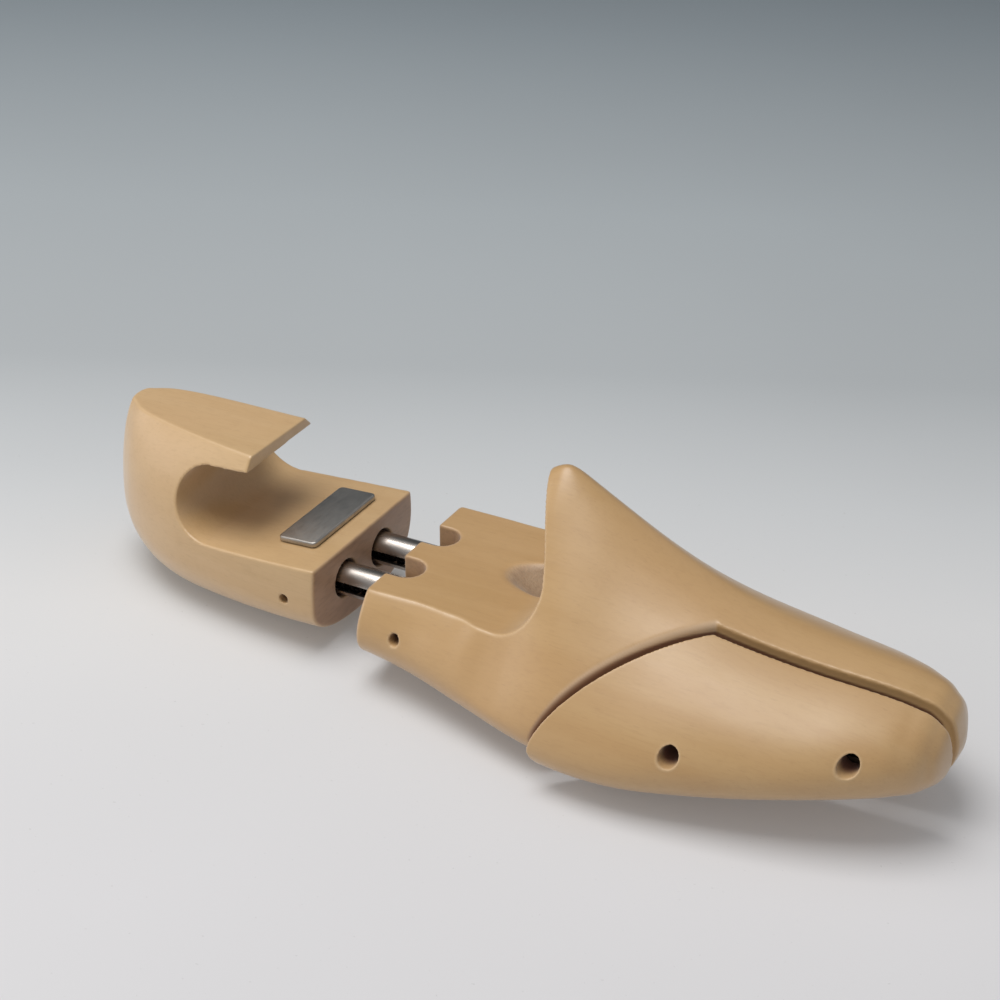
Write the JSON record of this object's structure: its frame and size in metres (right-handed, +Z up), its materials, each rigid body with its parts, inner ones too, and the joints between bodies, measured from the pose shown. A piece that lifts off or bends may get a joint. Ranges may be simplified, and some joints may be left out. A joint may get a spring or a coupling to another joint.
{
  "type": "shoe tree",
  "caption": "Wooden shoe tree with a hand grip in the heel block, twin sprung guide tubes, a carved forepart with finger hole and a sprung side wing at the toe.",
  "frame": {"origin": "middle of the tree's length and width at the floor it stands on, heel slid out and wing sprung out", "axes": "+X along the tree toward the toe, +Y toward the medial (far) side, +Z up"},
  "size_m": [0.2716, 0.088, 0.0696],
  "materials": {
    "forepart_wood": "satin lacquered pale hardwood",
    "heel_wood": "satin lacquered pale hardwood",
    "wing_wood": "satin lacquered pale hardwood",
    "tube_steel": "polished",
    "nickel": "turned",
    "spring_steel": "dark drawn wire",
    "fastener_steel": "turned",
    "nut_brass": "turned",
    "plate_metal": "dark satin nickel with bright edges"
  },
  "bodies": {
    "forepart": {"forepart_body": "forepart_wood", "tube_near": "tube_steel", "tube_far": "tube_steel", "tube_spring_near": "spring_steel", "tube_spring_far": "spring_steel", "forepart_cross_pin": "fastener_steel", "wing_guide_screw_rear": "fastener_steel", "wing_guide_screw_front": "fastener_steel", "wing_guide_nut_rear": "nut_brass", "wing_guide_nut_front": "nut_brass", "wing_washer_rear": "nickel", "wing_washer_front": "nickel", "wing_spring_rear": "spring_steel", "wing_spring_front": "spring_steel"},
    "heel": {"heel_block": "heel_wood", "heel_cross_pin": "fastener_steel", "name_plate": "plate_metal", "spring_seat_near": "nickel", "spring_seat_far": "nickel"},
    "wing": {"toe_wing": "wing_wood"}
  },
  "joints": [
    {"name": "heel_slide", "type": "slide", "parent": "forepart", "child": "heel", "axis": [0.9991, 0, 0.0423], "range_m": [0, 0.016], "stiffness_N_per_m": 900, "springref_m": -0.012, "deforming": ["tube_spring_near", "tube_spring_far"]},
    {"name": "wing_slide", "type": "slide", "parent": "forepart", "child": "wing", "axis": [0, 1, 0], "range_m": [0, 0.004], "stiffness_N_per_m": 1200, "springref_m": -0.004, "deforming": ["wing_spring_rear", "wing_spring_front"]}
  ]
}
